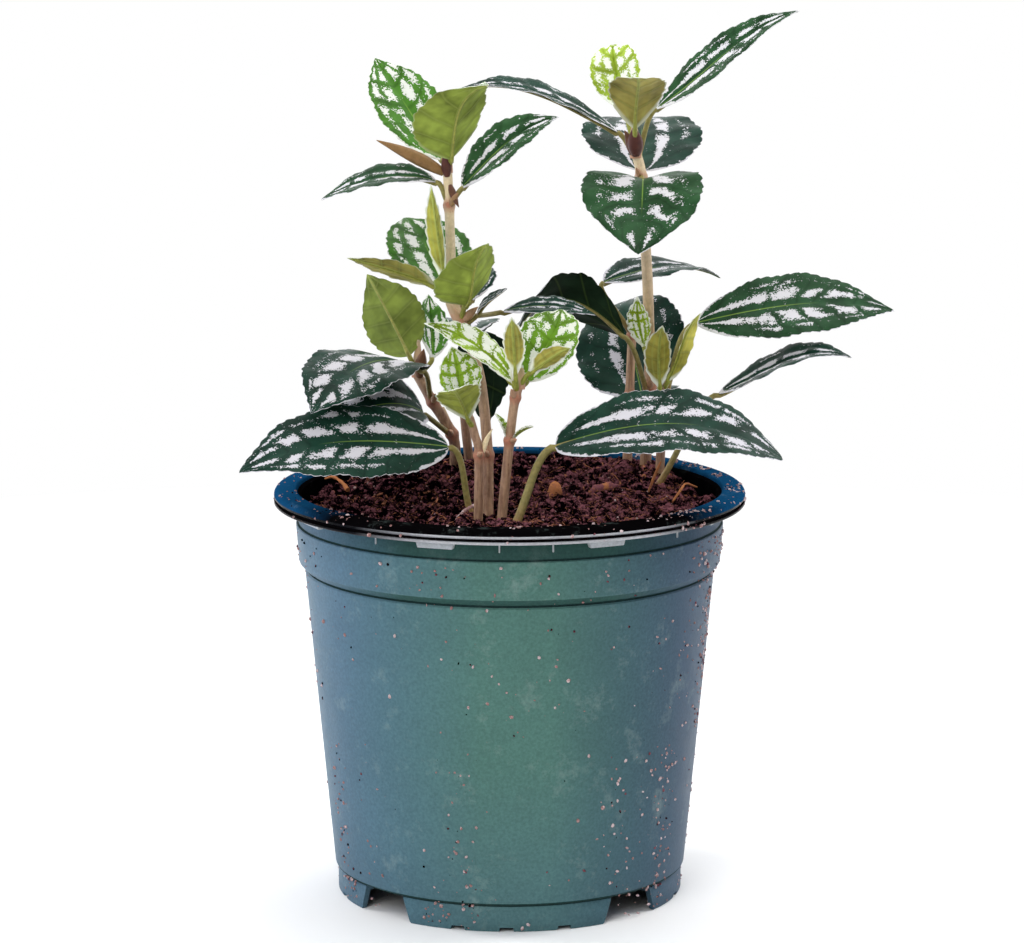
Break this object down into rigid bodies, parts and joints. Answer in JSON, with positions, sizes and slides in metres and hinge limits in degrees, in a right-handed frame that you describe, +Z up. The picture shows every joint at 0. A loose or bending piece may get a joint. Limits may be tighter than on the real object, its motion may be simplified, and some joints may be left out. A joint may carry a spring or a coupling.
{
  "type": "potted aluminium plant",
  "caption": "Potted aluminium plant: silver-patched green leaves on upright stems in a round green nursery pot filled with dark soil.",
  "frame": {"origin": "centre of the pot's flat base, on the surface it stands on", "axes": "+Z up along the pot's axis, -Y towards the front"},
  "size_m": [0.2308, 0.1859, 0.3076],
  "materials": {
    "pot": "satin",
    "soil": "matte",
    "stem": "satin",
    "leaf": "satin",
    "young_leaf": "satin"
  },
  "bodies": {
    "root": {"pot": "pot", "soil": "soil", "stem_tall_left": "stem", "stem_short_front": "stem", "stem_middle_front": "stem", "stem_forked_left": "stem", "stem_pink_back": "stem", "stem_tall_right": "stem", "stem_right_back": "stem", "stem_right_short": "stem", "leaf_tall_left_top_back": "young_leaf", "leaf_tall_left_top_front": "young_leaf", "leaf_tall_left_upper_left": "leaf", "leaf_tall_left_upper_right": "leaf", "leaf_tall_left_upright": "young_leaf", "leaf_tall_left_middle_back": "leaf", "leaf_tall_left_middle_left": "young_leaf", "leaf_tall_left_middle_front": "young_leaf", "leaf_tall_left_middle_right": "leaf", "leaf_tall_left_middle_dark": "leaf", "leaf_tall_left_lower_right": "leaf", "leaf_tall_left_lower_back": "leaf", "leaf_forked_upright_left": "young_leaf", "leaf_forked_upright_right": "young_leaf", "leaf_forked_drooping": "leaf", "leaf_forked_low": "leaf", "leaf_low_left": "leaf", "leaf_short_front_upright": "young_leaf", "leaf_short_front_olive": "young_leaf", "leaf_middle_front_left": "young_leaf", "leaf_middle_front_right": "young_leaf", "leaf_middle_front_upright": "young_leaf", "leaf_middle_front_small": "young_leaf", "leaf_low_right": "leaf", "leaf_tall_right_arching_left": "leaf", "leaf_tall_right_far_right": "leaf", "leaf_tall_right_top_back": "young_leaf", "leaf_tall_right_top_front": "young_leaf", "leaf_tall_right_heart_front": "leaf", "leaf_tall_right_heart_back": "leaf", "leaf_right_arching": "leaf", "leaf_right_big_back": "leaf", "leaf_right_back_drooping": "leaf", "leaf_right_back_hidden": "leaf", "leaf_right_small_upright": "young_leaf", "leaf_right_young_left": "young_leaf", "leaf_right_young_right": "young_leaf", "leaf_right_big_side": "leaf", "leaf_low_back_right": "leaf", "leaf_pink_back_hidden": "leaf"}
  },
  "joints": []
}
